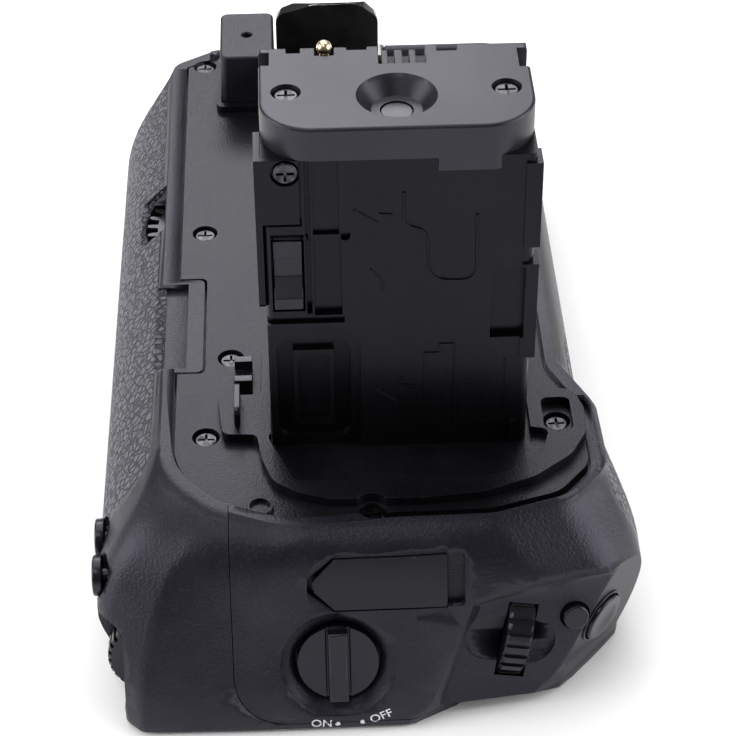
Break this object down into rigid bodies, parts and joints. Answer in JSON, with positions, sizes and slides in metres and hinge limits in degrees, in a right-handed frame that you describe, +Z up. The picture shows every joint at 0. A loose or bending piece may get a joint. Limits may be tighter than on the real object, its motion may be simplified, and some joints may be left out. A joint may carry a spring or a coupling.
{
  "type": "camera battery grip",
  "caption": "Vertical camera battery grip with a contact tower for the camera's battery chamber, an end-loading battery tray, dials, buttons and a tripod socket.",
  "frame": {"origin": "middle of the tripod socket's mouth at the base, under the lens axis", "axes": "+X to the battery tray's end, +Y to the viewer, +Z up to the camera"},
  "size_m": [0.149, 0.083, 0.0891],
  "materials": {
    "shell_plastic": "fine moulded texture, matte",
    "tower_plastic": "smoother moulding, satin",
    "satin_plastic": "satin",
    "gloss_black": "gloss",
    "leather_rubber": "coarse pebbled grain",
    "dark_steel": "blackened cross-head screw",
    "bright_steel": "satin steel",
    "painted_plate": "matte black paint",
    "gold_contact": "gold plate",
    "pack_plastic": "dark grey, matte",
    "circuit_board": "solder mask"
  },
  "bodies": {
    "grip": {"front_shell": "shell_plastic", "rear_shell": "shell_plastic", "top_plate": "shell_plastic", "seat_pad": "shell_plastic", "tower_skirt": "shell_plastic", "tower_near_shell": "tower_plastic", "tower_far_shell": "tower_plastic", "tower_cap": "tower_plastic", "cap_pin": "satin_plastic", "contact_holder": "tower_plastic", "contact_pin": "gold_contact", "tower_strip": "shell_plastic", "strip_screw": "dark_steel", "cap_screws": "dark_steel", "plate_screws": "dark_steel", "skirt_screws": "dark_steel", "base_screws": "dark_steel", "base_plate": "painted_plate", "base_pads": "leather_rubber", "tripod_socket": "bright_steel", "drive_bracket": "satin_plastic", "locating_post": "shell_plastic", "post_collar": "shell_plastic", "guide_boss": "gloss_black", "alignment_pin": "bright_steel", "cover_clip": "shell_plastic", "cover_blade": "shell_plastic", "rear_rubber": "leather_rubber", "front_rubber": "leather_rubber", "shutter_bezel": "satin_plastic", "main_dial_axle": "bright_steel", "rear_dial_axle": "bright_steel", "power_switch": "satin_plastic", "control_board": "circuit_board", "main_board": "circuit_board", "tower_cable": "circuit_board", "bay_contact_block": "tower_plastic", "bay_contacts": "gold_contact", "button_springs": "bright_steel"},
    "tray": {"battery_tray": "tower_plastic", "battery_pack_1": "pack_plastic", "battery_pack_2": "pack_plastic", "tray_contacts": "gold_contact"},
    "tray_lock": {"tray_lock_knob": "satin_plastic", "tray_lock_cam": "tower_plastic"},
    "power_switch_knob": {"power_knob": "satin_plastic"},
    "front_dial": {"main_dial": "satin_plastic"},
    "thumb_dial": {"rear_dial": "satin_plastic"},
    "shutter_release": {"shutter_button": "satin_plastic"},
    "function_button": {"fn_button": "satin_plastic"},
    "inner_rear_button": {"rear_button_1": "satin_plastic"},
    "outer_rear_button": {"rear_button_2": "satin_plastic"},
    "latch_lever": {"tower_lever": "tower_plastic"},
    "thumb_wheel": {"attachment_wheel": "satin_plastic"},
    "camera_screw": {"attachment_screw": "bright_steel"},
    "port_flap": {"port_cover": "shell_plastic"}
  },
  "joints": [
    {"name": "tray_slide", "type": "slide", "parent": "grip", "child": "tray", "axis": [1, 0, 0], "range_m": [0, 0.121]},
    {"name": "lock_turn", "type": "hinge", "parent": "tray", "child": "tray_lock", "pos_m": [0.0675, -0.01337, 0.01395], "axis": [-1, 0, 0], "range_deg": [0, 90]},
    {"name": "power_turn", "type": "hinge", "parent": "grip", "child": "power_switch_knob", "pos_m": [-0.07827, -0.0069, 0.0111], "axis": [-0.9588, 0, 0.284], "range_deg": [0, 22]},
    {"name": "front_dial_spin", "type": "hinge", "parent": "grip", "child": "front_dial", "pos_m": [-0.06863, -0.03265, 0.01001], "axis": [0.0609, -0.9745, -0.2158], "continuous": true},
    {"name": "thumb_dial_spin", "type": "hinge", "parent": "grip", "child": "thumb_dial", "pos_m": [-0.0716, 0.0197, 0.0084], "axis": [1, 0, 0], "continuous": true},
    {"name": "shutter_press", "type": "slide", "parent": "grip", "child": "shutter_release", "axis": [0.6618, 0.735, 0.1478], "range_m": [0, 0.0009], "stiffness_N_per_m": 1000, "springref_m": -0.0004},
    {"name": "function_press", "type": "slide", "parent": "grip", "child": "function_button", "axis": [0.9517, 0.1219, -0.2819], "range_m": [0, 0.0006], "stiffness_N_per_m": 1600, "springref_m": -0.0002},
    {"name": "inner_rear_press", "type": "slide", "parent": "grip", "child": "inner_rear_button", "axis": [0, -1, 0], "range_m": [0, 0.0006], "stiffness_N_per_m": 1600, "springref_m": -0.0002},
    {"name": "outer_rear_press", "type": "slide", "parent": "grip", "child": "outer_rear_button", "axis": [0, -1, 0], "range_m": [0, 0.0006], "stiffness_N_per_m": 1600, "springref_m": -0.0002},
    {"name": "lever_swing", "type": "hinge", "parent": "grip", "child": "latch_lever", "pos_m": [-0.0499, -0.00134, 0.0686], "axis": [0, -1, 0], "range_deg": [0, 5], "stiffness_Nm_per_rad": 0.02, "springref_deg": -8.59},
    {"name": "wheel_turn", "type": "hinge", "parent": "grip", "child": "thumb_wheel", "pos_m": [0.0135, 0.01, 0.0239], "axis": [0, 0, 1], "continuous": true},
    {"name": "screw_turn", "type": "hinge", "parent": "grip", "child": "camera_screw", "pos_m": [0, 0, 0.0239], "axis": [0, 0, 1], "continuous": true},
    {"name": "flap_swing", "type": "hinge", "parent": "grip", "child": "port_flap", "pos_m": [-0.07422, -0.00365, 0.02356], "axis": [-0.284, 0, -0.9588], "range_deg": [0, 100]}
  ],
  "couplings": [
    {"joint": "screw_turn", "follows": "wheel_turn", "ratio": -3.2}
  ]
}
